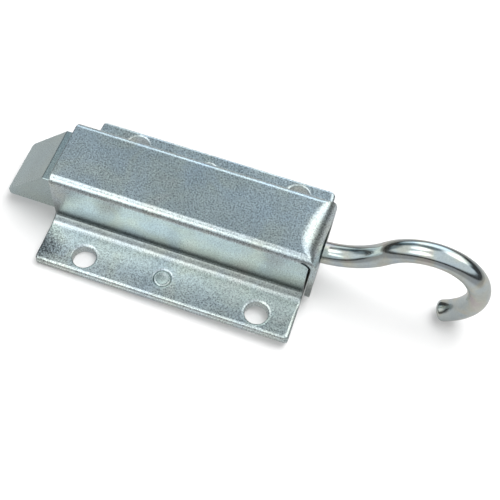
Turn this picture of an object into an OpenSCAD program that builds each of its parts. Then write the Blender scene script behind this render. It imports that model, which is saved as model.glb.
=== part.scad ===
// Flush spring bolt: a bevelled bolt slides in a folded sheet housing, on a riveted base plate.
// A hooked rod is pinned into the bolt and leaves through the housing's end flap.
// A spring round the rod pushes the bolt out, and the rod's bend stops it at the flap's hole.
// The origin is the centre of the four fixing holes, on the mounting face.
// +X points to the hook, and +Z points away from the mounting face.

/* [Housing] */
// Length of the walls and flanges
housing_l = 95; // [85:1:130]
// Width over the two walls
housing_w = 27; // [25:0.5:40]
// Height of the top above the mounting face
housing_h = 27.5; // [26.5:0.5:40]
// Thickness of the folded sheet
sheet_t = 2; // [1.5:0.1:2.4]
// Width of each flange, from the wall's outer face
flange_w = 18.8; // [17.5:0.1:28]
// Inside radius of the bends between the top and the walls
bend_r = 1; // [0.6:0.1:1.5]
// Radius of the hollow between each wall and its flange
foot_r = 3; // [1:0.1:4]
// Radius on the flanges' upper edges
edge_r = 1.2; // [0.3:0.1:1.4]
// Radius on the corners of the flanges and the plate, seen from above
corner_r = 1.2; // [0.5:0.1:3]

/* [End flap] */
// Inside radius of the bend from the top into the flap
flap_bend_r = 4; // [1.5:0.1:4.5]
// Gap between the flanges' ends and the flap
flap_gap = 0.4; // [0.2:0.1:0.8]
// Distance that the walls' ends stand back from the flanges' ends
wall_setback = 0.6; // [0:0.1:1.5]
// Height of the flap's lower end above the mounting face
flap_lift = 1.6; // [0.5:0.1:4]
// Radius on the flap's lower corners
flap_corner_r = 1.8; // [0.5:0.1:3]

/* [Base plate and rivets] */
// Thickness of the base plate
plate_t = 2; // [1.2:0.1:3]
// Diameter of the rivets
rivet_d = 6.3; // [4:0.1:7]
// Diameter of the rivets' countersunk heads under the plate
rivet_head_d = 9; // [8:0.1:10]
// Clearance round the rivets
rivet_gap = 0.05; // [0.02:0.01:0.1]
// Radius on the rivets' ends and the rims of their holes
rivet_edge_r = 0.6; // [0.2:0.05:0.8]
// Distance across the part between the two rivets
rivet_span = 49.2; // [46:0.1:56]
// Place of the rivets along the part, from the middle of the hole pattern
rivet_x = -3.2; // [-12:0.1:12]

/* [Fixing holes] */
// Diameter of the fixing holes
hole_d = 8.5; // [5:0.1:9]
// Distance between the holes along the part
hole_pitch_x = 65; // [50:0.5:70]
// Distance between the holes across the part
hole_pitch_y = 52; // [48:0.5:54]
// Offset of the hole pattern from the housing's middle, towards the hook
hole_shift = 1.5; // [-3:0.1:3]
// Radius on the holes' upper rims
hole_rim_r = 0.9; // [0.2:0.1:1.2]

/* [Bolt] */
// Overall length of the bolt
bolt_l = 70; // [60:1:76]
// Height of the bolt
bolt_h = 20.5; // [18:0.1:21.5]
// Gap between the bolt and each wall
bolt_side_gap = 0.5; // [0.3:0.05:1]
// Gap between the bolt and the base plate
bolt_run_gap = 0.2; // [0.1:0.05:0.5]
// Length of the nose that stands out of the housing
nose_out = 19.8; // [14:0.1:22]
// Angle of the bevel
bevel_angle = 45; // [42:1:55]
// Height of the blunt end below the bevel
nose_h = 4.5; // [3:0.1:7]
// Radius on the nose's corners, seen from above
nose_corner_r = 1.4; // [0.5:0.1:3]
// Chamfer under the nose and along the lower edges
bolt_chamfer = 2.6; // [0.5:0.1:2.8]

/* [Pull hook] */
// Diameter of the rod
rod_d = 8; // [6:0.1:9]
// Height of the rod's axis above the bolt's underside
rod_rise = 11.1; // [9:0.1:12]
// Length of rod inside the bolt
rod_depth = 24; // [16:0.5:30]
// Clearance between the rod and the flap's hole
rod_hole_gap = 0.25; // [0.15:0.01:0.4]
// Clearance between the rod and the bolt's bore
rod_fit_gap = 0.05; // [0.02:0.01:0.1]
// Radius of the rod's first bend, to its centre line
swan_r = 30; // [20:0.5:40]
// Length of straight rod between that bend and the ring
swan_run = 1; // [0.5:0.5:10]
// Radius of the hook's ring, to its centre line
hook_r = 19; // [15:0.5:26]
// Radius on the rod's ends
tip_r = 2.6; // [1:0.1:2.8]

/* [Pin and spring] */
// Diameter of the roll pin
pin_d = 4; // [3:0.1:5]
// Wall of the roll pin
pin_wall = 0.8; // [0.5:0.05:1]
// Width of the roll pin's slot
pin_slot = 0.7; // [0.4:0.1:1]
// Depth of the pin's ends below the bolt's sides
pin_inset = 0.6; // [0.2:0.1:2]
// Clearance round the pin
pin_gap = 0.03; // [0.01:0.01:0.06]
// Diameter of the spring wire
wire_d = 1.6; // [1:0.1:2]
// Clearance between the spring and the rod
spring_gap = 0.6; // [0.4:0.1:1]
// Clearance between each end of the spring and its seat
seat_gap = 0.1; // [0.05:0.05:0.2]
// Turns of the spring between its closed ends
spring_turns = 9; // [5:1:10]

/* [Hidden] */
$fn = 48;
eps = 0.01;
over = 1;

// Places along X
x_left = -housing_l / 2 - hole_shift;
x_right = housing_l / 2 - hole_shift;
flap_in = x_right + flap_gap;
flap_out = flap_in + sheet_t;
flap_bend_x = flap_in - flap_bend_r;
wall_end = x_right - wall_setback;
nose_x = x_left - nose_out;
rear_x = nose_x + bolt_l;
bevel_x = nose_x + (bolt_h - nose_h) / tan(bevel_angle);
rod_x = rear_x - rod_depth;
pin_x = rear_x - rod_depth / 2;

// Widths and heights
base_w = housing_w + 2 * flange_w;
inner_w = housing_w - 2 * sheet_t;
bend_out_r = bend_r + sheet_t;
foot_out_r = foot_r + sheet_t;
flange_start = housing_w / 2 + foot_r;
flap_bend_out_r = flap_bend_r + sheet_t;
flap_bend_z = housing_h - flap_bend_out_r;
flange_top = plate_t + sheet_t;
bolt_w = inner_w - 2 * bolt_side_gap;
bolt_z = plate_t + bolt_run_gap;
rod_z = bolt_z + rod_rise;

// The bend starts inside the flap's hole and meets the hole's rim at the flap's outer face.
rod_r = rod_d / 2;
stop_gap = 0.05;
bend_start_x = flap_out - sqrt(2 * swan_r * (rod_hole_gap - stop_gap));

// Both of the hook's angles belong to a 3-4-5 triangle. Their sines and cosines are short decimals,
// so the bends and the straight rod between them meet exactly.
swan_angle = acos(0.6);
hook_turn = 180 - acos(0.8);
swan_dx = swan_r * sin(swan_angle);
swan_dz = swan_r * (1 - cos(swan_angle));
ring_dx = swan_dx + swan_run * cos(swan_angle) + hook_r * sin(swan_angle);
ring_dz = swan_dz + swan_run * sin(swan_angle) - hook_r * cos(swan_angle);

// Spring: one closed turn at each end, evenly pitched turns between
coil_r = rod_r + spring_gap + wire_d / 2;
spring_start = rear_x + seat_gap + wire_d / 2;
spring_end = flap_in - seat_gap - wire_d / 2;
all_turns = spring_turns + 2;
ring_steps = 16;
wire_sides = 8;

steel = [0.70, 0.73, 0.74];
bright_steel = [0.80, 0.82, 0.83];
dark_steel = [0.45, 0.47, 0.48];

// Extrusions of a flat outline along X, Y and Z
module along_x(from, to) translate([from, 0, 0]) rotate([90, 0, 90]) linear_extrude(to - from) children();
module along_y(width) translate([0, width / 2, 0]) rotate([90, 0, 0]) linear_extrude(width) children();
module along_z(from, to) translate([0, 0, from]) linear_extrude(to - from) children();

module box2d(low, high) translate(low) square(high - low);

// Rectangle with its upper corners rounded, and its lower ones too if low_r is set
module rounded2d(low, high, top_r, low_r = 0) {
    box2d([low.x, low.y + low_r], [high.x, high.y - top_r]);
    box2d([low.x + top_r, high.y - top_r], [high.x - top_r, high.y]);
    for (x = [low.x + top_r, high.x - top_r]) translate([x, high.y - top_r]) circle(top_r);
    if (low_r > 0) {
        box2d([low.x + low_r, low.y], [high.x - low_r, low.y + low_r]);
        for (x = [low.x + low_r, high.x - low_r]) translate([x, low.y + low_r]) circle(low_r);
    }
}

module at_holes() {
    for (x = [-1, 1], y = [-1, 1]) translate([x * hole_pitch_x / 2, y * hole_pitch_y / 2, 0]) children();
}

module at_rivets() {
    for (y = [-1, 1]) translate([rivet_x, y * rivet_span / 2, 0]) children();
}

// Cuts a hole through the sheet below top, with a rounded upper rim
module rimmed_hole(radius, rim, top) {
    translate([0, 0, -over]) cylinder(r = radius, h = top + 2 * over);
    translate([0, 0, top - rim]) rotate_extrude() translate([radius, 0]) difference() {
        square([rim, rim + over]);
        translate([rim, 0]) circle(rim);
    }
}

// Section of the housing's top and walls, with the bends into the flanges
module hat_section() {
    difference() {
        union() {
            rounded2d([-housing_w / 2, plate_t], [housing_w / 2, housing_h], bend_out_r);
            box2d([-flange_start - over, plate_t], [flange_start + over, flange_top]);
            for (side = [-1, 1]) scale([side, 1]) foot_hollow();
        }
        rounded2d([-inner_w / 2, plate_t - over], [inner_w / 2, housing_h - sheet_t], bend_r);
        for (side = [-1, 1]) scale([side, 1]) foot_round();
    }
}

// Fills the corner between a wall and its flange up to the hollow of the bend
module foot_hollow() {
    difference() {
        box2d([housing_w / 2 - eps, flange_top - eps], [flange_start, flange_top + foot_r]);
        translate([flange_start, flange_top + foot_r]) circle(foot_r);
    }
}

// Cuts the corner under that bend down to its round underside
module foot_round() {
    difference() {
        box2d([inner_w / 2 - eps, plate_t - eps], [flange_start, plate_t + foot_out_r]);
        translate([flange_start, plate_t + foot_out_r]) circle(foot_out_r);
    }
}

// Outline of the hat seen from the side, cut back along the flap and round its bend
module hat_side() {
    box2d([x_left, 0], [flap_bend_x, housing_h]);
    polygon([
        [flap_bend_x, 0], [x_right, 0], [x_right, flange_top + foot_r],
        [wall_end, rod_z], [wall_end, flap_bend_z], [flap_bend_x, flap_bend_z]
    ]);
    intersection() {
        translate([flap_bend_x, flap_bend_z]) circle(wall_end - flap_bend_x);
        box2d([flap_bend_x, flap_bend_z], [wall_end, housing_h]);
    }
}

module hat() {
    intersection() {
        along_x(x_left, x_right) hat_section();
        along_y(base_w) hat_side();
    }
}

// Outline of the plate and of the flanges, seen from above
module base_plan() {
    rounded2d([x_left, -base_w / 2], [x_right, base_w / 2], corner_r, corner_r);
}

module flanges() {
    difference() {
        intersection() {
            along_x(x_left, x_right) rounded2d([-base_w / 2, plate_t], [base_w / 2, flange_top], edge_r);
            along_y(base_w) rounded2d([x_left, plate_t], [x_right, flange_top], edge_r);
            along_z(plate_t, flange_top) base_plan();
        }
        along_x(x_left - over, x_right + over) box2d([-flange_start, 0], [flange_start, housing_h]);
    }
}

// The flap and the bend above it, seen from the side
module flap_side() {
    intersection() {
        translate([flap_bend_x, flap_bend_z]) difference() {
            circle(flap_bend_out_r);
            circle(flap_bend_r);
        }
        box2d([flap_bend_x, flap_bend_z], [flap_out, housing_h]);
    }
    box2d([flap_in, flap_lift], [flap_out, flap_bend_z]);
}

// Outline of the flap seen from the hook's end
module flap_front() {
    half = housing_w / 2;
    rounded2d([-half, flap_lift], [half, housing_h], bend_out_r, flap_corner_r);
}

// Flat of the top that runs on into the flap, seen from the side
module top_side() {
    box2d([x_left, housing_h - sheet_t], [flap_bend_x, housing_h]);
    flap_side();
}

module flap() {
    difference() {
        union() {
            intersection() {
                along_y(base_w) flap_side();
                along_x(flap_bend_x, flap_out) flap_front();
            }
            along_y(housing_w - 2 * bend_out_r) top_side();
        }
        translate([flap_in - over, 0, rod_z]) rotate([0, 90, 0])
            cylinder(r = rod_r + rod_hole_gap, h = sheet_t + 2 * over);
    }
}

module housing() {
    color(steel) difference() {
        union() {
            hat();
            flanges();
            flap();
        }
        at_holes() rimmed_hole(hole_d / 2, hole_rim_r, flange_top);
        at_rivets() rimmed_hole(rivet_d / 2 + rivet_gap, rivet_edge_r, flange_top);
    }
}

module base_plate() {
    color(steel) difference() {
        along_z(0, plate_t) base_plan();
        at_holes() translate([0, 0, -over]) cylinder(d = hole_d, h = plate_t + 2 * over);
        at_rivets() rivet_body(rivet_gap);
    }
}

// Countersunk head at the mounting face and a straight shank up through both sheets
module rivet_body(gap) {
    head_r = rivet_head_d / 2;
    sink = head_r - rivet_d / 2;
    translate([0, 0, -gap]) cylinder(r = rivet_d / 2 + gap, h = flange_top - rivet_edge_r + gap);
    cylinder(r1 = head_r + gap, r2 = rivet_d / 2 + gap, h = sink);
}

module plate_rivets() {
    color(bright_steel) at_rivets() {
        rivet_body(0);
        translate([0, 0, flange_top - rivet_edge_r]) rounded_end(rivet_d / 2, rivet_edge_r);
    }
}

// End of a round bar, rising from z = 0, with its edge rounded
module rounded_end(radius, round_r) {
    rotate_extrude() {
        square([radius - round_r, round_r]);
        intersection() {
            translate([radius - round_r, 0]) circle(round_r);
            square([radius, round_r]);
        }
    }
}

module bolt_side() {
    polygon([
        [nose_x + bolt_chamfer, bolt_z],
        [rear_x, bolt_z],
        [rear_x, bolt_z + bolt_h],
        [bevel_x, bolt_z + bolt_h],
        [nose_x, bolt_z + nose_h],
        [nose_x, bolt_z + bolt_chamfer]
    ]);
}

module bolt_plan() {
    rounded2d([nose_x, -bolt_w / 2], [rear_x - over, bolt_w / 2], nose_corner_r, nose_corner_r);
    box2d([bevel_x, -bolt_w / 2], [rear_x, bolt_w / 2]);
}

module bolt_front() {
    flat_y = bolt_w / 2 - bolt_chamfer;
    polygon([
        [-flat_y, bolt_z],
        [flat_y, bolt_z],
        [bolt_w / 2, bolt_z + bolt_chamfer],
        [bolt_w / 2, housing_h],
        [-bolt_w / 2, housing_h],
        [-bolt_w / 2, bolt_z + bolt_chamfer]
    ]);
}

module bolt() {
    color(steel) difference() {
        intersection() {
            along_y(bolt_w) bolt_side();
            along_z(0, housing_h) bolt_plan();
            along_x(nose_x - over, rear_x + over) bolt_front();
        }
        translate([rod_x - rod_fit_gap, 0, rod_z]) rotate([0, 90, 0])
            cylinder(r = rod_r + rod_fit_gap, h = rod_depth + over);
        pin_hole();
    }
}

module pin_hole() {
    translate([pin_x, bolt_w, rod_z]) rotate([90, 0, 0]) cylinder(r = pin_d / 2 + pin_gap, h = 2 * bolt_w);
}

module cross_pin() {
    pin_l = bolt_w - 2 * pin_inset;
    color(dark_steel) translate([pin_x, pin_l / 2, rod_z]) rotate([90, 0, 0]) difference() {
        cylinder(d = pin_d, h = pin_l);
        translate([0, 0, -over]) cylinder(r = pin_d / 2 - pin_wall, h = pin_l + 2 * over);
        translate([0, -pin_slot / 2, -over]) cube([pin_d, pin_slot, pin_l + 2 * over]);
    }
}

// Direction in the XZ plane at an angle from the top, clockwise towards +X
function heading(angle) = [sin(angle), cos(angle)];

// Bent rod in the XZ plane round a centre at the origin, clockwise from one heading to another
module rod_arc(radius, from, to) {
    reach = 2 * (radius + rod_r);
    steps = ceil((to - from) / 60);
    rim = [for (i = [0 : steps]) reach * heading(from + (to - from) * i / steps)];
    rotate([90, 0, 0]) intersection() {
        rotate_extrude() translate([radius, 0]) circle(rod_r);
        along_z(-rod_d, rod_d) polygon(concat([[0, 0]], rim));
    }
}

// Shank, first bend, short straight run, ring and tip, drawn from the place where the shank ends
module hook_rod() {
    shank_l = bend_start_x - rod_x - tip_r;
    rotate([0, -90, 0]) cylinder(r = rod_r, h = shank_l);
    translate([-shank_l, 0, 0]) rotate([0, -90, 0]) rounded_end(rod_r, tip_r);
    translate([0, 0, swan_r]) rod_arc(swan_r, 180 - swan_angle, 180);
    translate([swan_dx, 0, swan_dz]) rotate([0, 90 - swan_angle, 0]) cylinder(r = rod_r, h = swan_run);
    translate([ring_dx, 0, ring_dz]) {
        rod_arc(hook_r, -swan_angle, hook_turn);
        rotate([0, hook_turn, 0]) translate([0, 0, hook_r]) rotate([0, 90, 0]) rounded_end(rod_r, tip_r);
    }
}

module pull_hook() {
    color(bright_steel) difference() {
        translate([bend_start_x, 0, rod_z]) hook_rod();
        pin_hole();
    }
}

// Distance along the spring after a number of turns
function coil_x(turn) =
    let (pitch = (spring_end - spring_start - 2 * wire_d) / spring_turns)
    turn <= 1 ? spring_start + wire_d * turn
    : turn >= all_turns - 1 ? spring_end - wire_d * (all_turns - turn)
    : spring_start + wire_d + pitch * (turn - 1);

// One point of the wire's surface, a ring angle round the wire after a number of turns
function coil_point(turn, around) =
    let (r = coil_r + wire_d / 2 * cos(around), a = 360 * turn)
    [coil_x(turn) + wire_d / 2 * sin(around), r * cos(a), rod_z + r * sin(a)];

module return_spring() {
    rings = all_turns * ring_steps;
    points = [for (i = [0 : rings], k = [0 : wire_sides - 1])
        coil_point(i / ring_steps, 360 * k / wire_sides)];
    at = function(i, k) i * wire_sides + k % wire_sides;
    sides = [for (i = [0 : rings - 1], k = [0 : wire_sides - 1]) each [
        [at(i, k), at(i, k + 1), at(i + 1, k + 1)],
        [at(i, k), at(i + 1, k + 1), at(i + 1, k)]
    ]];
    first_end = [for (k = [wire_sides - 1 : -1 : 0]) at(0, k)];
    last_end = [for (k = [0 : wire_sides - 1]) at(rings, k)];
    color(dark_steel) polyhedron(points, concat(sides, [first_end, last_end]));
}

housing();
base_plate();
plate_rivets();
bolt();
pull_hook();
cross_pin();
return_spring();
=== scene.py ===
import math

import bmesh
import bpy
from mathutils import Matrix, Vector


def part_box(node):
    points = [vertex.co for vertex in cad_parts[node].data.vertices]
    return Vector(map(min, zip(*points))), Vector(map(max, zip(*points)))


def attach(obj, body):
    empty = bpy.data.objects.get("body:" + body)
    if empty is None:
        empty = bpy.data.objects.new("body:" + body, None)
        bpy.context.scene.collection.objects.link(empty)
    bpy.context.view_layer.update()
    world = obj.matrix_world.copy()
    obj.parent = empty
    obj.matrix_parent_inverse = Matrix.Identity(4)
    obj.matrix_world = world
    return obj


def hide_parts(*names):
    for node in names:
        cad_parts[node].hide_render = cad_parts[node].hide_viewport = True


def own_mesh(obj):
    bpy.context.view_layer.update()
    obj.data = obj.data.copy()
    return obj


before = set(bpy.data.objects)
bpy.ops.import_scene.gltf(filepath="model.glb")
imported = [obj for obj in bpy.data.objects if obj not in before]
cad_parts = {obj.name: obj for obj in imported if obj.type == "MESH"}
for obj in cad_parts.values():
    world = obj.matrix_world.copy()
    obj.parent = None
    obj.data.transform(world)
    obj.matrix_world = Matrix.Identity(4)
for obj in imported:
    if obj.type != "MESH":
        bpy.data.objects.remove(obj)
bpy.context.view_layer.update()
mm = 0.001  # sizes below are in mm, Blender works in metres
sameSpot = 0.02  # places closer than this count as one
hair = 0.01  # too small to see: keeps faces out of one plane, and is the slack in finer tests of place
weldGap = 0.004  # points closer than this are merged
aligned = 0.9  # share of a normal or direction along an axis from which it counts as pointing that way
cutterReach = 1.0  # cutters stand this far past what they cut
seamShift = 0.31  # cuts that open a face for a hole run this far beside the hole's middle
alongX = (0, math.pi / 2, 0)  # turn that lays a disc or cylinder on this axis
alongY = (math.pi / 2, 0, 0)
print("frame loaded:", len(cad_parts), "CAD nodes")


def boxOf(node):  # lowest and highest corner of a CAD node, in mm
    return [[value / mm for value in corner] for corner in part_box(node)]


def near(a, b):
    return abs(a - b) < sameSpot


def makeActive(obj):  # object mode, with only this object selected
    if bpy.context.mode != "OBJECT":
        bpy.ops.object.mode_set(mode="OBJECT")
    bpy.ops.object.select_all(action="DESELECT")
    obj.select_set(True)
    bpy.context.view_layer.objects.active = obj


def openMesh(obj):
    makeActive(obj)
    bpy.ops.object.mode_set(mode="EDIT")


def closeMesh():
    bpy.ops.object.mode_set(mode="OBJECT")


def named(name):  # takes over the primitive that was just added
    obj = bpy.context.object
    obj.name = obj.data.name = name
    bpy.ops.object.transform_apply(location=True, rotation=True, scale=True)
    return obj


def addBox(name, low, high):  # cube from corner to corner
    bpy.ops.object.select_all(action="DESELECT")
    bpy.ops.mesh.primitive_cube_add(size=1, location=[(a + b) / 2 * mm for a, b in zip(low, high)])
    bpy.context.object.scale = [(b - a) * mm for a, b in zip(low, high)]
    return named(name)


def addRod(name, radius, length, middle, turn, sides, ends="NGON"):
    bpy.ops.object.select_all(action="DESELECT")
    bpy.ops.mesh.primitive_cylinder_add(vertices=sides, radius=radius * mm, depth=length * mm,
                                        end_fill_type=ends, location=[value * mm for value in middle],
                                        rotation=turn)
    return named(name)


def addDisc(name, radius, middle, turn, sides):
    bpy.ops.object.select_all(action="DESELECT")
    bpy.ops.mesh.primitive_circle_add(vertices=sides, radius=radius * mm, fill_type="NGON",
                                      location=[value * mm for value in middle], rotation=turn)
    return named(name)


def addTurned(name, x, y, rings, sides=64):  # a disc extruded up through rings of (radius, height)
    radius, height = rings[0]
    obj = addDisc(name, radius, (x, y, height), (0, 0, 0), sides)
    openMesh(obj)
    bpy.ops.mesh.select_all(action="SELECT")
    for newRadius, newHeight in rings[1:]:
        grow = newRadius / radius
        extrude(0, 0, newHeight - height)
        bpy.ops.transform.resize(value=(grow, grow, 1), center_override=(x * mm, y * mm, newHeight * mm))
        radius, height = newRadius, newHeight
    faceOutwards()
    closeMesh()
    return obj


def edgePlace(edge):  # middle and direction
    start, end = (vert.co for vert in edge.verts)
    return (start + end) / 2, (end - start).normalized()


def pick(obj, kind, test):  # selects by place: test gets the middle in mm and the normal or direction
    bpy.ops.mesh.select_mode(type=kind)
    bpy.ops.mesh.select_all(action="DESELECT")
    mesh = bmesh.from_edit_mesh(obj.data)
    mesh.normal_update()
    if kind == "FACE":
        places = [(face, face.calc_center_median(), face.normal) for face in mesh.faces]
    else:
        places = [(edge, *edgePlace(edge)) for edge in mesh.edges]
    for part, middle, way in places:
        if test(middle / mm, way):
            part.select_set(True)
    mesh.select_flush_mode()
    bmesh.update_edit_mesh(obj.data)


def extrude(x, y, z):
    bpy.ops.mesh.extrude_region_move(TRANSFORM_OT_translate={"value": (x * mm, y * mm, z * mm)})


def cutAt(point, normal, clear=False):  # bisects the whole mesh, clear takes off the normal's side
    bpy.ops.mesh.select_all(action="SELECT")
    bpy.ops.mesh.bisect(plane_co=[value * mm for value in point], plane_no=normal,
                        use_fill=clear, clear_outer=clear)


def roundEdges(radius, steps):
    bpy.ops.mesh.bevel(offset_type="OFFSET", offset=radius * mm, segments=steps, profile=0.5, affect="EDGES",
                       clamp_overlap=False)


def joinFlat():  # takes out the edges that lie in a flat face
    bpy.ops.mesh.select_all(action="SELECT")
    bpy.ops.mesh.dissolve_limited(angle_limit=math.radians(1))


def faceOutwards():
    bpy.ops.mesh.select_all(action="SELECT")
    bpy.ops.mesh.normals_make_consistent(inside=False)


def weighEdges(obj, test, weight):  # share of the bevel's width that these edges get
    mesh = bmesh.from_edit_mesh(obj.data)
    layers = mesh.edges.layers.float
    layer = layers.get("bevel_weight_edge") or layers.new("bevel_weight_edge")
    for edge in mesh.edges:
        middle, way = edgePlace(edge)
        if test(middle / mm, way):
            edge[layer] = weight
    bmesh.update_edit_mesh(obj.data)


def applyModifier(obj, kind, **settings):
    makeActive(obj)
    modifier = obj.modifiers.new(kind.lower(), kind)
    for name, value in settings.items():
        setattr(modifier, name, value)
    bpy.ops.object.modifier_apply(modifier=modifier.name)


def sortMesh(obj):  # bevels and Booleans number their parts in no fixed order, this sets one
    openMesh(obj)
    mesh = bmesh.from_edit_mesh(obj.data)
    ranked = sorted(mesh.verts, key=lambda vert: [round(value / mm, 3) for value in vert.co])
    rank = {vert: place for place, vert in enumerate(ranked)}
    mesh.verts.sort(key=lambda vert: rank[vert])
    for parts in (mesh.edges, mesh.faces):
        ranked = sorted(parts, key=lambda part: sorted(rank[vert] for vert in part.verts))
        order = {part: place for place, part in enumerate(ranked)}
        parts.sort(key=lambda part: order[part])
    bmesh.update_edit_mesh(obj.data)
    closeMesh()


def combine(obj, other, operation):  # Boolean with another mesh, which is used up
    sortMesh(other)
    sortMesh(obj)
    applyModifier(obj, "BOOLEAN", operation=operation, solver="EXACT", object=other)
    bpy.data.objects.remove(other)


def cleanMesh(obj):
    openMesh(obj)
    bpy.ops.mesh.select_all(action="SELECT")
    bpy.ops.mesh.remove_doubles(threshold=weldGap * mm)
    bpy.ops.mesh.dissolve_degenerate(threshold=weldGap * mm)
    bpy.ops.mesh.delete_loose(use_verts=True, use_edges=True, use_faces=False)
    faceOutwards()
    closeMesh()


def quarterArc(steps=6):  # angles of a rounded edge
    return [math.radians(90 * i / steps) for i in range(steps + 1)]


def rimRings(radius, rim, bottom, top):  # rings of a hole's cutter that flares into a rounded rim
    width, depth = rim
    flare = [(radius + width * (1 - math.cos(a)), top + hair - depth + depth * math.sin(a))
             for a in quarterArc()]
    return [(radius, bottom)] + flare + [(radius + width, top + cutterReach)]


def finishPiece(obj, body, nodes, material, angle=40):  # edges stay sharp from this angle on
    sortMesh(obj)
    makeActive(obj)
    bpy.ops.object.shade_smooth_by_angle(angle=math.radians(angle))
    applyModifier(obj, "WEIGHTED_NORMAL", mode="FACE_AREA", weight=100, keep_sharp=True)
    obj.data.materials.clear()
    obj.data.materials.append(material)
    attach(obj, body)
    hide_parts(*nodes)
    print("piece done:", obj.name, len(obj.data.polygons), "faces")


def hexColour(code):  # sRGB hex to linear
    parts = [int(code[i:i + 2], 16) / 255 for i in (1, 3, 5)]
    return [c / 12.92 if c <= 0.04045 else ((c + 0.055) / 1.055) ** 2.4 for c in parts] + [1.0]


def addNode(tree, kind, settings, inputs):  # inputs: sockets to link, or values to set
    node = tree.nodes.new(kind)
    for name, value in settings.items():
        setattr(node, name, value)
    for socket, source in inputs.items():
        if isinstance(source, bpy.types.NodeSocket):
            tree.links.new(source, node.inputs[socket])
        else:
            node.inputs[socket].default_value = source
    return node


def newMaterial(name):
    material = bpy.data.materials.new(name)
    material.use_nodes = True
    material.node_tree.nodes.clear()
    return material, material.node_tree


def creaseShade(tree, place, crease):  # painted shade: 1 on the open sheet, less low on the walls and in the foot's hollow
    axes = addNode(tree, "ShaderNodeSeparateXYZ", {}, {0: place})
    height = axes.outputs["Z"]
    side = addNode(tree, "ShaderNodeMath", {"operation": "ABSOLUTE"}, {0: axes.outputs["Y"]}).outputs[0]
    depth = crease["loss"]
    for value, (low, high), atLow, atHigh in ((side, crease["in"], 0.0, 1.0), (side, crease["out"], 1.0, 0.0),
                                              (height, crease["from"], 0.0, 1.0),
                                              (height, crease["fade"], 1.0, 0.0)):
        share = addNode(tree, "ShaderNodeMapRange", {"interpolation_type": "SMOOTHSTEP"}, {
            "Value": value, "From Min": low * mm, "From Max": high * mm,
            "To Min": atLow, "To Max": atHigh}).outputs[0]
        depth = addNode(tree, "ShaderNodeMath", {"operation": "MULTIPLY"}, {0: depth, 1: share}).outputs[0]
    return addNode(tree, "ShaderNodeMath", {"operation": "SUBTRACT"}, {0: 1.0, 1: depth}).outputs[0]


def stainShade(tree, place, stain, grain):  # 1 elsewhere, less and blotchy round the dark blotch's middle
    spot = addNode(tree, "ShaderNodeMapping", {"vector_type": "TEXTURE"}, {
        "Vector": place, "Location": [value * mm for value in stain["middle"]],
        "Scale": [value * mm for value in stain["reach"]]}).outputs[0]
    away = addNode(tree, "ShaderNodeVectorMath", {"operation": "LENGTH"}, {0: spot}).outputs["Value"]
    blotch = addNode(tree, "ShaderNodeMath", {"operation": "MULTIPLY_ADD"}, {
        0: grain, 1: stain["blotch"], 2: away}).outputs[0]
    return addNode(tree, "ShaderNodeMapRange", {"interpolation_type": "SMOOTHSTEP"}, {
        "Value": blotch, "From Min": stain["blotch"] / 2, "From Max": stain["blotch"] / 2 + 1,
        "To Min": 1 - stain["loss"], "To Max": 1.0}).outputs[0]


# Zinc plate with a blue passivated film: a cool grey metal whose thin film shifts to green, straw and pink,
# over the fine pitting of pickled sheet. The values of each finish stand in its own dictionary, sizes in mm.
def zincFinish(name, look):
    material, tree = newMaterial(name)
    place = addNode(tree, "ShaderNodeTexCoord", {}, {}).outputs["Object"]
    grain = addNode(tree, "ShaderNodeTexNoise", {}, {
        "Vector": place, "Scale": 1 / (look["grain"] * mm), "Detail": 3.0, "Roughness": 0.6}).outputs["Fac"]
    cloud = addNode(tree, "ShaderNodeTexNoise", {}, {
        "Vector": place, "Scale": 1 / (look["cloud"] * mm), "Detail": 4.0, "Roughness": 0.55}).outputs["Fac"]
    film = addNode(tree, "ShaderNodeTexNoise", {}, {
        "Vector": place, "Scale": 1 / (look["film"] * mm), "Detail": 2.0, "Distortion": 0.6}).outputs["Fac"]
    tint = addNode(tree, "ShaderNodeValToRGB", {}, {"Fac": film})
    ramp = tint.color_ramp
    ramp.elements[0].position, ramp.elements[1].position = look["tints"][0][0], look["tints"][-1][0]
    for at, code in look["tints"][1:-1]:
        ramp.elements.new(at)
    for element, (at, code) in zip(ramp.elements, look["tints"]):
        element.color = hexColour(code)
    speckle = addNode(tree, "ShaderNodeMapRange", {}, {
        "Value": grain, "From Min": 0.36, "From Max": 0.64, "To Min": 1 - look["speckle"],
        "To Max": 1 + look["speckle"]}).outputs[0]
    patch = addNode(tree, "ShaderNodeMapRange", {}, {
        "Value": cloud, "From Min": 0.3, "From Max": 0.7, "To Min": 1 - look["patch"],
        "To Max": 1 + look["patch"]}).outputs[0]
    shades = [speckle, patch]
    # painted shade low on the walls and in the foot's hollow
    if "crease" in look:
        shades.append(creaseShade(tree, place, look["crease"]))
    if "stain" in look:
        shades.append(stainShade(tree, place, look["stain"], grain))
    shade = shades[0]
    for other in shades[1:]:
        shade = addNode(tree, "ShaderNodeMath", {"operation": "MULTIPLY"}, {0: shade, 1: other}).outputs[0]
    colour = addNode(tree, "ShaderNodeVectorMath", {"operation": "SCALE"}, {
        0: tint.outputs["Color"], "Scale": shade}).outputs[0]
    gloss = addNode(tree, "ShaderNodeMapRange", {}, {
        "Value": grain, "From Min": 0.3, "From Max": 0.7, "To Min": look["roughness"][0],
        "To Max": look["roughness"][1]}).outputs[0]
    pits = addNode(tree, "ShaderNodeBump", {}, {
        "Strength": look["bump"], "Distance": look["depth"] * mm, "Height": grain}).outputs[0]
    sheen = addNode(tree, "ShaderNodeBsdfPrincipled", {}, {
        "Base Color": colour, "Metallic": 1.0, "Roughness": gloss, "Normal": pits})
    addNode(tree, "ShaderNodeOutputMaterial", {}, {"Surface": sheen.outputs[0]})
    return material


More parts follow.
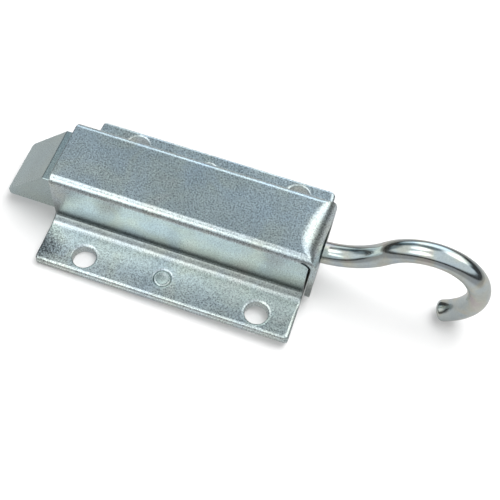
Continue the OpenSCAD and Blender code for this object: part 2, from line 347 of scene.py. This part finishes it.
pressedSheet = {  # cold rolled sheet, pickled and plated: fine speckle, semi-matt
    "grain": 0.52, "cloud": 11, "film": 15, "speckle": 0.32, "patch": 0.07, "roughness": (0.25, 0.35),
    "bump": 0.6, "depth": 0.03,
    "tints": [(0.30, "#cfdbe1"), (0.45, "#d3dddf"), (0.58, "#d7dfdb"), (0.70, "#dadeda")],
    # painted shade in the inside corner, darker low on the walls: bounds across and in height, and the share
    # of light lost
    "crease": {"in": (12.2, 12.8), "out": (15.5, 16.2), "from": (3.0, 3.5), "fade": (8.5, 17.0),
               "loss": 0.54},
    # dark blotch at one end of the near flange: middle, reach, unevenness and the share of light lost
    "stain": {"middle": (-50.0, -27.0, 4.0), "reach": (14.0, 9.0, 6.0), "blotch": 1.6, "loss": 0.75}}
milledBar = {  # drawn flat bar, milled and plated: smoother and greyer
    "grain": 0.5, "cloud": 9, "film": 20, "speckle": 0.05, "patch": 0.05, "roughness": (0.24, 0.32),
    "bump": 0.3, "depth": 0.012,
    "tints": [(0.30, "#c2d4d9"), (0.50, "#c6d5d6"), (0.70, "#cad6d0")]}
drawnRod = {  # bright drawn wire rod: smooth, with sharper highlights
    "grain": 0.6, "cloud": 7, "film": 10, "speckle": 0.04, "patch": 0.06, "roughness": (0.10, 0.17),
    "bump": 0.3, "depth": 0.008,
    "tints": [(0.30, "#cdd8de"), (0.45, "#d4dcdb"), (0.58, "#dcddd2"), (0.70, "#dfd6d6")]}
peenedRivet = {  # soft rivet, ends peened flat
    "grain": 0.5, "cloud": 4, "film": 8, "speckle": 0.10, "patch": 0.05, "roughness": (0.20, 0.30),
    "bump": 0.4, "depth": 0.02,
    "tints": [(0.30, "#cddbde"), (0.50, "#d3dddb"), (0.70, "#d9ded5")]}
springWire = {  # patented spring wire, plated: darker and even
    "grain": 0.3, "cloud": 5, "film": 8, "speckle": 0.04, "patch": 0.06, "roughness": (0.24, 0.34),
    "bump": 0.1, "depth": 0.01,
    "tints": [(0.30, "#a3abae"), (0.50, "#acb2b0"), (0.70, "#b4b3ae")]}
zincSheet = zincFinish("blueZincOnPressedSheet", pressedSheet)
zincBolt = zincFinish("blueZincOnMilledBar", milledBar)
zincRod = zincFinish("brightZincOnDrawnRod", drawnRod)
zincRivet = zincFinish("zincOnPeenedRivet", peenedRivet)
zincSpring = zincFinish("zincOnSpringWire", springWire)
print("materials ready")


# Housing: one sheet folded to a channel with two flanges, and a flap bent down over its right end
housingSheet = {
    "sheet": 2.0, "wallHalf": 13.5, "topBend": 3.0, "footHollow": 3.0,
    "footTight": 1.5, "footEase": 7.0, "footTurn": 32,  # tight at the wall, easing out into the flange
    "edgeRound": 1.1, "cutRound": 0.6, "corner": 1.4, "rollOver": 2.0, "setback": 0.4,
    "flapBend": 6.0, "flapCorner": 1.8, "flapLap": 0.05, "arcSteps": 10, "cornerSteps": 6,
    # the press left the flap's bend wider in the middle: widest place, reach on both sides,
    # radius at the ends and there, and how far apart the sheet is cut to take that form
    "crownMiddle": -4.0, "crownReach": (7.2, 15.0), "crownRadius": (5.4, 9.0), "crownStep": 1.5}
fixingHoles = {"x": 32.5, "y": 26.0, "radius": 4.25, "rim": (1.3, 0.55)}  # width and depth of the pressed rim
rivetSpots = {"x": -3.2, "y": 24.6, "radius": 3.15, "head": 4.5, "sink": 1.35, "gap": 0.05,
              "rim": (1.0, 0.45), "round": 0.6}
rodLine = {"z": 13.3, "radius": 4.0, "flapHole": 4.25, "pinX": -10.8}


def cutSeams():  # so that no hole lies inside one face
    for x in (-fixingHoles["x"], rivetSpots["x"], fixingHoles["x"]):
        cutAt((x + seamShift, 0, 0), (1, 0, 0))


def cutHoles(sheet, holeRings, rivetRings):  # for the four screws and the two rivets
    for x in (-fixingHoles["x"], fixingHoles["x"]):
        for y in (-fixingHoles["y"], fixingHoles["y"]):
            combine(sheet, addTurned("holeCutter", x, y, holeRings), "DIFFERENCE")
    for y in (-rivetSpots["y"], rivetSpots["y"]):
        combine(sheet, addTurned("rivetCutter", rivetSpots["x"], y, rivetRings), "DIFFERENCE")


def flapStrip(bendX, flapOut, foot, top):  # the flap with its bend and the hole for the rod
    size = housingSheet
    wall, sheet, bend, steps = size["wallHalf"], size["sheet"], size["flapBend"], size["arcSteps"]
    inner = flapOut - sheet
    strip = addBox("flapStrip", (bendX - size["flapLap"], -wall, top - sheet), (flapOut, wall, top))
    openMesh(strip)
    cutAt((inner, 0, 0), (1, 0, 0))
    pick(strip, "FACE", lambda p, n: n.z < -aligned and p.x > inner)
    extrude(0, 0, foot - (top - sheet))
    joinFlat()
    pick(strip, "EDGE", lambda p, d: abs(d.y) > aligned and near(p.x, flapOut) and near(p.z, top))
    roundEdges(bend, steps)
    pick(strip, "EDGE", lambda p, d: abs(d.y) > aligned and near(p.x, inner) and near(p.z, top - sheet))
    roundEdges(bend - sheet, steps)
    pick(strip, "EDGE", lambda p, d: abs(d.x) > aligned and near(p.z, foot))
    roundEdges(size["flapCorner"], size["cornerSteps"])
    weighEdges(strip, lambda p, d: p.x > inner - hair and p.z < top - bend and abs(d.x) < hair
               and (near(p.x, flapOut) or near(p.x, inner)), 1)
    closeMesh()
    applyModifier(strip, "BEVEL", width=size["cutRound"] * mm, segments=3, limit_method="WEIGHT")
    openMesh(strip)
    cutAt((0, seamShift, 0), (0, 1, 0))
    closeMesh()
    drill = addRod("rodHoleCutter", rodLine["flapHole"], 3 * sheet, (flapOut, 0, rodLine["z"]), alongX, 64)
    combine(strip, drill, "DIFFERENCE")
    for side in (-1, 1):  # the top's bends run on over the flap
        low, high = sorted((side * (wall - size["topBend"]), side * (wall + 1.5 * cutterReach)))
        corner = addBox("cornerCutter", (bendX - 2 * cutterReach, low, top),
                        (flapOut + 2 * cutterReach, high, top + 1.5 * cutterReach))
        openMesh(corner)
        cutAt((0, side * wall, 0), (0, 1, 0))
        pick(corner, "FACE", lambda p, n: n.z < -aligned and p.y * side > wall)
        extrude(0, 0, -size["topBend"])
        joinFlat()
        pick(corner, "EDGE", lambda p, d: abs(d.x) > aligned and near(p.y, side * wall) and near(p.z, top))
        roundEdges(size["topBend"], steps)
        closeMesh()
        combine(strip, corner, "DIFFERENCE")
    return strip


def crownBend(hat, bendX, bendZ, flapOut, top):  # opens the flap's bend towards the middle
    size = housingSheet
    lap, step = size["flapLap"], size["crownStep"]
    clearWidth = size["wallHalf"] - size["sheet"]
    hollow = size["flapBend"] - size["sheet"] - 0.3  # nothing of the bend lies as close to its axis
    ends, middle = size["crownRadius"]
    openMesh(hat)
    pick(hat, "EDGE", lambda p, d: near(p.x, bendX - lap) and abs(d.x) < 1 - aligned)  # the union's seam
    bpy.ops.mesh.dissolve_edges(use_verts=True)
    cuts = round((size["wallHalf"] - size["topBend"]) / step)
    for i in range(-cuts, cuts + 1):
        pick(hat, "FACE", lambda p, n: p.x > bendX and p.z > bendZ and abs(p.y) < clearWidth)
        bpy.ops.mesh.bisect(plane_co=(0, i * step * mm, 0), plane_no=(0, 1, 0))
    mesh = bmesh.from_edit_mesh(hat.data)
    for vert in mesh.verts:
        x, y, z = vert.co / mm
        reach = math.hypot(x - bendX, z - bendZ)
        if x < bendX - lap - hair or z < bendZ - hair or reach < hollow:
            continue
        side = (y - size["crownMiddle"]) / size["crownReach"][y > size["crownMiddle"]]
        radius = ends + (middle - ends) * max(0, 1 - side ** 2)
        scale = (reach + radius - size["flapBend"]) / reach
        vert.co.x = (flapOut - radius + (x - bendX) * scale) * mm
        vert.co.z = (top - radius + (z - bendZ) * scale) * mm
    bmesh.update_edit_mesh(hat.data)
    closeMesh()


def easeFoot(hat, flangeTop):  # turns the round hollow into a tight bend with a long run-out
    size = housingSheet
    wall, tight, ease = size["wallHalf"], size["footTight"], size["footEase"]
    hollow, turn = size["footHollow"], math.radians(size["footTurn"])
    middle = Vector((wall + hollow, flangeTop + hollow))
    runOut = wall + tight + (ease - tight) * math.sin(turn)
    mesh = bmesh.from_edit_mesh(hat.data)
    for vert in mesh.verts:
        x, y, z = vert.co / mm
        away = middle - Vector((abs(y), z))
        if not near(away.length, hollow) or min(away) < -sameSpot:
            continue
        lean = math.atan2(away.x, away.y)
        if lean > turn:
            across = wall + tight - tight * math.sin(lean)
            height = flangeTop + ease - (ease - tight) * math.cos(turn) - tight * math.cos(lean)
        else:
            across, height = runOut - ease * math.sin(lean), flangeTop + ease - ease * math.cos(lean)
        vert.co.y, vert.co.z = math.copysign(across, y) * mm, height * mm
    bmesh.update_edit_mesh(hat.data)
    return runOut


def shapeEnds(hat, right, flat, wallFrom, wallTo):  # sets the walls' right ends back, rolls the flanges' over
    size = housingSheet
    openMesh(hat)
    cutAt((0, 0, wallTo), (0, 0, 1))
    cutSeams()
    mesh = bmesh.from_edit_mesh(hat.data)
    for vert in mesh.verts:
        x, y, z = vert.co / mm
        if x > right - size["cutRound"] and z > wallFrom:
            vert.co.x -= size["setback"] * min((z - wallFrom) / (wallTo - wallFrom), 1) * mm
        if abs(y) > flat and x > right - size["corner"] - sameSpot:
            vert.co.x = (right - size["rollOver"] * (right - x)) * mm
    bmesh.update_edit_mesh(hat.data)
    closeMesh()


def makeHousing():
    size, holes, rivets = housingSheet, fixingHoles, rivetSpots
    low, high = boxOf("housing")
    left, foot = low[0], low[2]
    flapOut, halfBase, top = high
    plateHigh = boxOf("base_plate")[1]
    right, plateTop = plateHigh[0], plateHigh[2]
    wall, sheet, steps = size["wallHalf"], size["sheet"], size["arcSteps"]
    flangeTop = plateTop + sheet

    def atEnd(p):
        return near(p.x, left) or near(p.x, right)

    hat = addBox("housingSheet", (left, -wall, top - sheet), (right, wall, top))
    openMesh(hat)
    for y in (sheet - wall, wall - sheet):
        cutAt((0, y, 0), (0, 1, 0))
    pick(hat, "FACE", lambda p, n: n.z < -aligned and abs(p.y) > wall - sheet)
    extrude(0, 0, flangeTop - top + sheet)
    extrude(0, 0, -sheet)
    for side in (-1, 1):
        pick(hat, "FACE", lambda p, n: n.y * side > aligned and p.z < flangeTop and near(p.y, side * wall))
        extrude(0, side * (halfBase - wall), 0)
    joinFlat()
    bends = [(wall, top, size["topBend"], steps),
             (wall - sheet, top - sheet, size["topBend"] - sheet, steps),
             (wall - sheet, plateTop, size["footHollow"] + sheet, steps),
             (wall, flangeTop, size["footHollow"], 2 * steps)]
    for y, z, radius, count in bends:
        pick(hat, "EDGE", lambda p, d: abs(d.x) > aligned and near(abs(p.y), y) and near(p.z, z))
        roundEdges(radius, count)
    flat = easeFoot(hat, flangeTop) + sameSpot
    pick(hat, "EDGE", lambda p, d: abs(d.z) > aligned and near(abs(p.y), halfBase))
    roundEdges(size["corner"], size["cornerSteps"])
    cutShare, flatFrom = size["cutRound"] / size["edgeRound"], halfBase - size["corner"]
    weighEdges(hat, lambda p, d: abs(p.y) < flat and atEnd(p), cutShare)
    weighEdges(hat, lambda p, d: near(p.z, plateTop) and (atEnd(p) or abs(p.y) > flatFrom), cutShare)
    weighEdges(hat, lambda p, d: abs(p.y) > flat and near(p.z, flangeTop), 1)
    closeMesh()
    applyModifier(hat, "BEVEL", width=size["edgeRound"] * mm, segments=4, limit_method="WEIGHT",
                  use_clamp_overlap=False)

    shapeEnds(hat, right, flat, flangeTop + size["footHollow"], rodLine["z"])
    bottom = plateTop - cutterReach
    cutHoles(hat, rimRings(holes["radius"], holes["rim"], bottom, flangeTop),
             rimRings(rivets["radius"] + rivets["gap"], rivets["rim"], bottom, flangeTop))

    bendX, bendZ = flapOut - size["flapBend"], top - size["flapBend"]
    corner = right - size["setback"] - bendX  # radius of the walls' right corners, under the bend
    clear = addBox("bendCutter", (bendX, -wall - cutterReach, bendZ),
                   (right + 2 * cutterReach, wall + cutterReach, top + cutterReach))
    keep = addBox("cornerKept", (bendX - 8 * cutterReach, -wall - 2 * cutterReach, bendZ - 8 * cutterReach),
                  (bendX + corner, wall + 2 * cutterReach, bendZ + corner))
    openMesh(keep)
    pick(keep, "EDGE", lambda p, d: abs(d.y) > aligned and p.x > bendX and p.z > bendZ)
    roundEdges(corner, steps)
    closeMesh()
    combine(clear, keep, "DIFFERENCE")
    combine(hat, clear, "DIFFERENCE")
    combine(hat, flapStrip(bendX, flapOut, foot, top), "UNION")

    cleanMesh(hat)
    crownBend(hat, bendX, bendZ, flapOut, top)
    cleanMesh(hat)
    finishPiece(hat, "housing", ["housing"], zincSheet)


makeHousing()


# Base plate: a flat sheet under the flanges, with the fixing holes and the rivets' countersinks
basePlate = {"corner": 1.2, "cornerSteps": 6, "edgeRound": 0.4, "edgeSteps": 3}


def makeBasePlate():
    size, rivets, bore = basePlate, rivetSpots, fixingHoles["radius"]
    low, high = boxOf("base_plate")
    plate = addBox("basePlate", low, high)
    openMesh(plate)
    pick(plate, "EDGE", lambda p, d: abs(d.z) > aligned)
    roundEdges(size["corner"], size["cornerSteps"])
    pick(plate, "EDGE", lambda p, d: abs(d.z) < 1 - aligned)
    roundEdges(size["edgeRound"], size["edgeSteps"])
    cutSeams()
    closeMesh()
    under, over = -cutterReach, high[2] + cutterReach
    wide, slim = rivets["head"] + rivets["gap"], rivets["radius"] + rivets["gap"]
    cutHoles(plate, [(bore, under), (bore, over)],
             [(wide + cutterReach, under), (wide, 0), (slim, rivets["sink"]), (slim, over)])
    cleanMesh(plate)
    finishPiece(plate, "housing", ["base_plate"], zincSheet)


makeBasePlate()


# Rivets: countersunk underneath, the upper end peened flush with a rounded edge and a shallow dish
rivetDish = {"rings": [(2.2, 0.0), (1.7, 0.084), (0.6, 0.12)]}  # radius and depth


def makeRivets():
    spots = rivetSpots
    shank, edge = spots["radius"], spots["round"]
    top = boxOf("plate_rivets")[1][2]
    rings = ([(spots["head"], 0), (shank, spots["sink"])]
             + [(shank - edge * (1 - math.cos(a)), top - edge + edge * math.sin(a)) for a in quarterArc()]
             + [(radius, top - depth) for radius, depth in rivetDish["rings"]])
    rivet = addTurned("plateRivets", spots["x"], -spots["y"], rings)
    makeActive(rivet)
    bpy.ops.object.duplicate()
    other = bpy.context.object
    other.location = (0, 2 * spots["y"] * mm, 0)
    bpy.ops.object.transform_apply(location=True, rotation=True, scale=True)
    rivet.select_set(True)
    bpy.context.view_layer.objects.active = rivet
    bpy.ops.object.join()
    finishPiece(rivet, "housing", ["plate_rivets"], zincRivet)


makeRivets()


# Bolt: a flat bar with a bevelled nose, bored for the rod and its cross pin
boltBar = {"noseRise": 4.5, "bevel": 16.0, "chamfer": 2.6, "corner": 1.4, "cornerSteps": 8, "edgeRound": 0.6,
           "bore": 4.05, "boreDepth": 24.05, "pinHole": 2.0, "pinDrill": 30.0}


def makeBolt():
    size, rodZ, pinX = boltBar, rodLine["z"], rodLine["pinX"]
    low, high = boxOf("bolt")
    noseTop = low[2] + size["noseRise"]
    bolt = addBox("boltBar", low, high)
    openMesh(bolt)
    pick(bolt, "EDGE", lambda p, d: abs(d.z) > aligned and near(p.x, low[0]))
    roundEdges(size["corner"], size["cornerSteps"])
    cutAt((low[0], 0, noseTop), (noseTop - high[2], 0, size["bevel"]), clear=True)
    cutAt((low[0] + size["chamfer"], 0, low[2]), (-1, 0, -1), clear=True)
    for side in (-1, 1):
        cutAt((0, side * (high[1] - size["chamfer"]), low[2]), (0, side, -1), clear=True)
    joinFlat()
    closeMesh()
    applyModifier(bolt, "BEVEL", width=size["edgeRound"] * mm, segments=3, limit_method="ANGLE",
                  angle_limit=math.radians(30), use_clamp_overlap=True)
    openMesh(bolt)
    cutAt((0, 0, rodZ + seamShift), (0, 0, 1))
    closeMesh()
    bore = addRod("boreCutter", size["bore"], 2 * size["boreDepth"], (high[0], 0, rodZ), alongX, 48)
    combine(bolt, bore, "DIFFERENCE")
    drill = addRod("pinCutter", size["pinHole"], size["pinDrill"], (pinX, 0, rodZ), alongY, 32)
    combine(bolt, drill, "DIFFERENCE")
    cleanMesh(bolt)
    finishPiece(bolt, "bolt", ["bolt"], zincBolt)


makeBolt()


# Pull hook: a rod that bends up in a swan neck and over into an open ring
pullHook = {
    "bendStart": 44.936, "swan": 30.0, "swanTurn": math.degrees(math.acos(0.6)), "run": 1.0, "ring": 19.0,
    "ringTurn": 180 + math.degrees(math.acos(0.6) - math.acos(0.8)), "tip": 1.75, "tipRound": 1.4,
    "firstRing": 2.75, "sides": 48, "shankSteps": 6, "swanSteps": 28, "ringSteps": 72, "tipSteps": 8}


def makeHook():
    size, radius, z = pullHook, rodLine["radius"], rodLine["z"]
    start, bendStart, firstRing = boxOf("pull_hook")[0][0], size["bendStart"], size["firstRing"]
    turn, sweep = math.radians(size["swanTurn"]), math.radians(size["ringTurn"])
    hook = addDisc("pullHook", radius, (start, 0, z), alongX, size["sides"])
    openMesh(hook)
    bpy.ops.mesh.select_all(action="SELECT")
    extrude(firstRing, 0, 0)
    for i in range(size["shankSteps"]):
        extrude((bendStart - start - firstRing) / size["shankSteps"], 0, 0)
    bpy.ops.mesh.spin(steps=size["swanSteps"], angle=turn, axis=(0, 1, 0),
                      center=(bendStart * mm, 0, (z + size["swan"]) * mm))
    heading = Vector((math.cos(turn), 0, math.sin(turn)))
    extrude(*(heading * size["run"]))
    neck = Vector((bendStart, 0, z)) + size["swan"] * Vector((math.sin(turn), 0, 1 - math.cos(turn)))
    centre = neck + heading * size["run"] + size["ring"] * Vector((math.sin(turn), 0, -math.cos(turn)))
    bpy.ops.mesh.spin(steps=size["ringSteps"], angle=sweep, center=centre * mm, axis=(0, -1, 0))
    last = turn - sweep
    way = Vector((math.cos(last), 0, math.sin(last)))
    extrude(*(way * size["tip"]))
    tip = centre + size["ring"] * Vector((-math.sin(last), 0, math.cos(last))) + way * size["tip"]
    bpy.ops.mesh.select_all(action="SELECT")
    bpy.ops.mesh.remove_doubles(threshold=weldGap * mm)
    faceOutwards()
    for point, along in ((Vector((start, 0, z)), Vector((1, 0, 0))), (tip, way)):
        pick(hook, "EDGE", lambda p, d: abs((p - point).dot(along)) < hair
             and (p - point).length < radius + sameSpot)
        roundEdges(size["tipRound"], size["tipSteps"])
    closeMesh()
    cleanMesh(hook)
    finishPiece(hook, "bolt", ["pull_hook"], zincRod)


makeHook()


# Cross pin: a rolled sleeve with a slot, inside the bolt
crossPin = {"radius": 1.98, "wall": 0.8, "edgeRound": 0.15, "sides": 36}


def makePin():
    size = crossPin
    low, high = boxOf("cross_pin")
    pin = addRod("rollPin", size["radius"], high[1] - low[1], (rodLine["pinX"], 0, rodLine["z"]),
                 (math.pi / 2, 0, math.pi), size["sides"], ends="NOTHING")
    openMesh(pin)
    pick(pin, "FACE", lambda p, n: n.x > 0.99)  # two of the sides, which leave a slot of about 0.7
    bpy.ops.mesh.delete(type="FACE")
    faceOutwards()
    closeMesh()
    applyModifier(pin, "SOLIDIFY", thickness=size["wall"] * mm, offset=-1)
    applyModifier(pin, "BEVEL", width=size["edgeRound"] * mm, segments=2, limit_method="ANGLE",
                  angle_limit=math.radians(50))
    finishPiece(pin, "bolt", ["cross_pin"], zincSpring)


makePin()


# Return spring: round wire wound on the rod, with a closed turn at each end
returnSpring = {"wire": 1.6, "coil": 5.4, "turns": 11, "pointsPerTurn": 20, "keep": 0.578}


def makeSpring():
    size, rodZ = returnSpring, rodLine["z"]
    wire, coil, turns = size["wire"], size["coil"], size["turns"]
    low, high = boxOf("return_spring")
    first, last = low[0] + wire / 2, high[0] - wire / 2
    pitch = (last - first - 2 * wire) / (turns - 2)
    curve = bpy.data.curves.new("returnSpring", "CURVE")
    curve.dimensions = "3D"
    curve.bevel_depth = wire / 2 * mm
    curve.bevel_resolution = 3
    curve.use_fill_caps = True
    line = curve.splines.new("POLY")
    line.points.add(turns * size["pointsPerTurn"])
    for i, point in enumerate(line.points):
        turn = i / size["pointsPerTurn"]
        x = first + wire * min(turn, 1) + pitch * min(max(turn - 1, 0), turns - 2)
        x += wire * max(turn - turns + 1, 0)
        around = 2 * math.pi * turn
        point.co = (x * mm, coil * math.cos(around) * mm, (rodZ + coil * math.sin(around)) * mm, 1)
    spring = bpy.data.objects.new("returnSpring", curve)
    bpy.context.collection.objects.link(spring)
    makeActive(spring)
    bpy.ops.object.convert(target="MESH")
    spring = bpy.context.object
    cleanMesh(spring)  # the wire's end caps come unjoined
    finishPiece(spring, "housing", ["return_spring"], zincSpring, angle=60)
    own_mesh(spring)


makeSpring()


# Studio: white floor through the part's two resting places, soft lamps, and a dome that only metal mirrors
studio = {
    "floorFrom": (-49.0, 0.0), "floorTo": (96.98, -4.22), "floorSize": 12.0, "floorColour": "#e8e8e8",
    "floorGlow": 0.18, "floorShade": 0.82, "mirroredGlow": 0.27, "mirroredShade": 0.24,
    # the paper that the metal mirrors ends near the part: middle and fade in metres, stretch, shade past it
    "paperMiddle": (-0.016, -0.036, 0.0), "paperStretch": (0.4, 1.8, 1.0), "paperEdge": (0.11, 0.17),
    "paperEnd": 0.06,
    "domeRadius": 4.0, "domeFoot": -400, "horizon": 0.05, "sky": 0.78, "skyFrom": 8, "skyTo": 20,
    "skyColour": "#f4fbff",
    # the dome's brighter and darker fields: aim, half angle and softness in degrees, strength, colour
    "fields": [((-0.14, 0.47, 0.87), 17, 6, -0.54, "#ffffff"),  # gap between the lights, over the top
               ((0.0, 0.90, 0.43), 19, 8, 0.95, "#d5ecff"),  # far window
               ((-0.31, -0.67, 0.67), 12, 9, 1.60, "#fbfff6"),  # softbox in front
               ((-0.38, 0.02, 0.92), 15, 5, 1.20, "#ffffff"),  # small softbox overhead, to the left
               ((0.58, 0.45, 0.68), 20, 8, 1.10, "#fffff8"),  # softbox on the right
               ((0.85, 0.48, 0.20), 22, 7, -0.90, "#ffffff"),  # dark room below it
               ((-0.45, 0.82, 0.33), 10, 6, 0.60, "#d5ecff"),  # second window
               ((-0.64, 0.58, 0.50), 16, 7, -0.60, "#ffffff"),  # dark room above it, on the left
               ((-0.95, 0.18, 0.24), 20, 8, -0.50, "#ffffff")],  # and below it
    # name, place and size in metres, and watts of each lamp
    "lamps": [("overheadSoftbox", (0.22, 0.22, 0.75), 0.6, 7.0),
              ("frontFill", (-0.3, -0.8, 0.5), 0.7, 1.2)],
    "lampAim": (0.02, 0.0, 0.0), "roomLight": 0.35}


def makeFloor():
    (x0, z0), (x1, z1) = studio["floorFrom"], studio["floorTo"]
    slope = math.atan2(z1 - z0, x1 - x0)
    bpy.ops.object.select_all(action="DESELECT")
    bpy.ops.mesh.primitive_plane_add(size=studio["floorSize"], location=(x0 * mm, 0, z0 * mm),
                                     rotation=(0, -slope, 0))
    floor = named("studioFloor")
    material, tree = newMaterial("mattWhiteCard")
    ray = addNode(tree, "ShaderNodeLightPath", {}, {})
    seen = addNode(tree, "ShaderNodeMath", {"operation": "MAXIMUM"}, {
        0: ray.outputs["Is Camera Ray"], 1: ray.outputs["Is Transmission Ray"]}).outputs[0]
    matt = addNode(tree, "ShaderNodeBsdfDiffuse", {}, {"Color": hexColour(studio["floorColour"])}).outputs[0]
    place = addNode(tree, "ShaderNodeTexCoord", {}, {}).outputs["Object"]
    place = addNode(tree, "ShaderNodeMapping", {}, {
        "Vector": place, "Location": studio["paperMiddle"], "Scale": studio["paperStretch"]}).outputs[0]
    reach = addNode(tree, "ShaderNodeVectorMath", {"operation": "LENGTH"}, {0: place}).outputs["Value"]
    paper = addNode(tree, "ShaderNodeMapRange", {"interpolation_type": "SMOOTHSTEP"}, {
        "Value": reach, "From Min": studio["paperEdge"][0], "From Max": studio["paperEdge"][1],
        "To Min": studio["mirroredShade"], "To Max": studio["paperEnd"]}).outputs[0]
    looks = []
    for glow, shade in (("floorGlow", (*[studio["floorShade"]] * 3, 1)), ("mirroredGlow", paper)):
        soft = addNode(tree, "ShaderNodeBsdfDiffuse", {}, {"Color": shade}).outputs[0]
        white = addNode(tree, "ShaderNodeEmission", {}, {"Strength": studio[glow]}).outputs[0]
        looks.append(addNode(tree, "ShaderNodeAddShader", {}, {0: soft, 1: white}).outputs[0])
    mixed = addNode(tree, "ShaderNodeMixShader", {}, {0: seen, 1: matt, 2: looks[0]}).outputs[0]
    mixed = addNode(tree, "ShaderNodeMixShader", {}, {
        0: ray.outputs["Is Glossy Ray"], 1: mixed, 2: looks[1]}).outputs[0]
    addNode(tree, "ShaderNodeOutputMaterial", {}, {"Surface": mixed})
    floor.data.materials.append(material)


def makeDome():
    bpy.ops.object.select_all(action="DESELECT")
    bpy.ops.mesh.primitive_uv_sphere_add(segments=48, ring_count=24, radius=studio["domeRadius"])
    dome = named("studioDome")
    openMesh(dome)
    cutAt((0, 0, studio["domeFoot"]), (0, 0, -1), clear=True)
    closeMesh()
    material, tree = newMaterial("studioTentFabric")
    place = addNode(tree, "ShaderNodeTexCoord", {}, {}).outputs["Object"]
    way = addNode(tree, "ShaderNodeVectorMath", {"operation": "NORMALIZE"}, {0: place}).outputs[0]
    height = addNode(tree, "ShaderNodeSeparateXYZ", {}, {0: way}).outputs["Z"]
    skyLow, skyHigh = (math.sin(math.radians(studio[key])) for key in ("skyFrom", "skyTo"))
    level = addNode(tree, "ShaderNodeMapRange", {"interpolation_type": "SMOOTHSTEP"}, {
        "Value": height, "From Min": skyLow, "From Max": skyHigh,
        "To Min": studio["horizon"], "To Max": studio["sky"]}).outputs[0]
    light = addNode(tree, "ShaderNodeVectorMath", {"operation": "SCALE"}, {
        0: hexColour(studio["skyColour"])[:3], "Scale": level}).outputs[0]
    for aim, half, soft, strength, code in studio["fields"]:
        rim, core = (math.cos(math.radians(angle)) for angle in (half + soft, half - soft))
        facing = addNode(tree, "ShaderNodeVectorMath", {"operation": "DOT_PRODUCT"}, {
            0: way, 1: Vector(aim).normalized()}).outputs["Value"]
        field = addNode(tree, "ShaderNodeMapRange", {"interpolation_type": "SMOOTHSTEP"}, {
            "Value": facing, "From Min": rim, "From Max": core, "To Min": 0.0, "To Max": strength}).outputs[0]
        tinted = addNode(tree, "ShaderNodeVectorMath", {"operation": "SCALE"}, {
            0: hexColour(code)[:3], "Scale": field}).outputs[0]
        light = addNode(tree, "ShaderNodeVectorMath", {"operation": "ADD"}, {0: light, 1: tinted}).outputs[0]
    light = addNode(tree, "ShaderNodeVectorMath", {"operation": "MAXIMUM"}, {
        0: light, 1: [studio["horizon"]] * 3}).outputs[0]
    glow = addNode(tree, "ShaderNodeEmission", {}, {"Color": light, "Strength": 1.0}).outputs[0]
    addNode(tree, "ShaderNodeOutputMaterial", {}, {"Surface": glow})
    dome.data.materials.append(material)
    dome.visible_camera = dome.visible_diffuse = dome.visible_shadow = False


def makeLamps():
    for name, place, size, watts in studio["lamps"]:
        lamp = bpy.data.lights.new(name, "AREA")
        lamp.size = size
        lamp.energy = watts
        obj = bpy.data.objects.new(name, lamp)
        bpy.context.collection.objects.link(obj)
        obj.location = place
        obj.rotation_euler = (Vector(studio["lampAim"]) - Vector(place)).to_track_quat("-Z", "Y").to_euler()
        obj.visible_glossy = False


def makeWorld():
    world = bpy.data.worlds.new("studioWhite")
    bpy.context.scene.world = world
    world.use_nodes = True
    tree = world.node_tree
    tree.nodes.clear()
    ray = addNode(tree, "ShaderNodeLightPath", {}, {})
    seen = addNode(tree, "ShaderNodeMath", {"operation": "MAXIMUM"}, {
        0: ray.outputs["Is Camera Ray"], 1: ray.outputs["Is Glossy Ray"]}).outputs[0]
    seen = addNode(tree, "ShaderNodeMath", {"operation": "MAXIMUM"}, {
        0: seen, 1: ray.outputs["Is Transmission Ray"]}).outputs[0]
    level = addNode(tree, "ShaderNodeMapRange", {}, {
        "Value": seen, "To Min": studio["roomLight"], "To Max": 1.0}).outputs[0]
    sky = addNode(tree, "ShaderNodeBackground", {}, {"Color": (1, 1, 1, 1), "Strength": level}).outputs[0]
    addNode(tree, "ShaderNodeOutputWorld", {}, {"Surface": sky})


makeFloor()
makeDome()
makeLamps()
makeWorld()
print("studio ready")


# Camera: angles in degrees, distance and aim in mm, focal length and frame in the photo's pixels
photoView = {"azimuth": 11.34, "elevation": 60.86, "roll": 7.67, "distance": 306.3,
             "aim": (23.44, -7.0, 11.4), "focal": 863.35, "frame": 500, "sensor": 36, "clip": (0.01, 50)}


def makeCamera():
    view = photoView
    azimuth, elevation, roll = (math.radians(view[key]) for key in ("azimuth", "elevation", "roll"))
    back = Vector((math.sin(azimuth) * math.cos(elevation), -math.cos(azimuth) * math.cos(elevation),
                   math.sin(elevation)))
    right = Vector((math.cos(azimuth), math.sin(azimuth), 0))
    up = back.cross(right)
    across = math.cos(roll) * right + math.sin(roll) * up
    above = math.cos(roll) * up - math.sin(roll) * right
    lens = bpy.data.cameras.new("photoCamera")
    lens.sensor_width = view["sensor"]
    lens.lens = view["focal"] / view["frame"] * view["sensor"]
    lens.clip_start, lens.clip_end = view["clip"]
    camera = bpy.data.objects.new("photoCamera", lens)
    bpy.context.collection.objects.link(camera)
    turn = Matrix((across, above, back)).transposed().to_4x4()
    camera.matrix_world = Matrix.Translation((Vector(view["aim"]) + back * view["distance"]) * mm) @ turn
    bpy.context.scene.camera = camera


makeCamera()
bpy.context.scene.view_settings.view_transform = "Standard"
print("scene ready")
